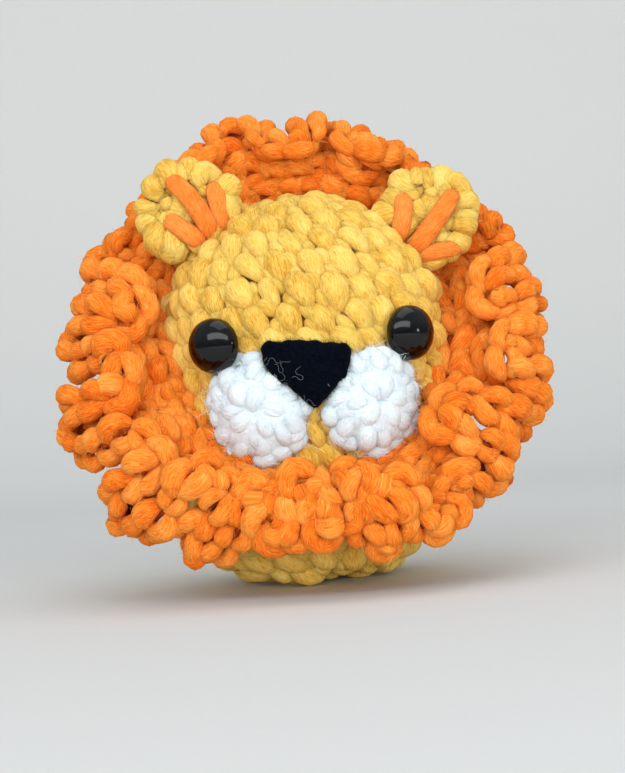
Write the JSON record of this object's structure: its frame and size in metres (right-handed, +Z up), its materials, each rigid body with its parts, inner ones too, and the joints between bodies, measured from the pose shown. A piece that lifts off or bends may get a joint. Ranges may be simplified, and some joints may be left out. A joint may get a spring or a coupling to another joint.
{
  "type": "crocheted lion plush",
  "caption": "Small stuffed crocheted lion, head and body in one, with a ruffled mane, sewn-on ears, domed eyes, felt nose and muzzle pads.",
  "frame": {"origin": "middle of the flat base that the lion stands on", "axes": "+Z up through the crown; the face looks along -Y; +X is to the right of someone facing it"},
  "size_m": [0.1006, 0.0754, 0.0962],
  "materials": {
    "yellow_yarn": "matt, soft smooth yarn with fine fibres",
    "orange_yarn": "matt, soft smooth yarn with fine fibres",
    "white_yarn": "matt, fluffy yarn",
    "black_felt": "matt felt",
    "fibrefill": "loose polyester filling",
    "black_plastic": "high gloss",
    "washer_plastic": "satin"
  },
  "bodies": {
    "body": {"body_shell": "yellow_yarn", "stuffing": "fibrefill", "closing_knot": "yellow_yarn", "mane_band": "orange_yarn", "mane_frill": "orange_yarn", "nose_felt": "black_felt", "muzzle_pad_left": "white_yarn", "muzzle_pad_right": "white_yarn"},
    "ear_left": {"ear_left": "yellow_yarn", "ear_stitch_left_1": "orange_yarn", "ear_stitch_left_2": "orange_yarn", "ear_stitch_left_3": "orange_yarn"},
    "ear_right": {"ear_right": "yellow_yarn", "ear_stitch_right_1": "orange_yarn", "ear_stitch_right_2": "orange_yarn", "ear_stitch_right_3": "orange_yarn"},
    "eye_left": {"eye_left": "black_plastic", "eye_washer_left": "washer_plastic"},
    "eye_right": {"eye_right": "black_plastic", "eye_washer_right": "washer_plastic"}
  },
  "joints": [
    {"name": "ear_left_flex", "type": "hinge", "parent": "body", "child": "ear_left", "pos_m": [-0.01933, -0.0074, 0.07104], "axis": [0.8387, 0, 0.5446], "range_deg": [-10, 35], "stiffness_Nm_per_rad": 0.01},
    {"name": "ear_right_flex", "type": "hinge", "parent": "body", "child": "ear_right", "pos_m": [0.02304, -0.0074, 0.06733], "axis": [0.7771, 0, -0.6293], "range_deg": [-10, 35], "stiffness_Nm_per_rad": 0.01},
    {"name": "eye_left_turn", "type": "hinge", "parent": "body", "child": "eye_left", "pos_m": [-0.01784, -0.02412, 0.0474], "axis": [-0.5948, -0.8039, 0], "continuous": true},
    {"name": "eye_right_turn", "type": "hinge", "parent": "body", "child": "eye_right", "pos_m": [0.01784, -0.02412, 0.0474], "axis": [0.5948, -0.8039, 0], "continuous": true}
  ]
}
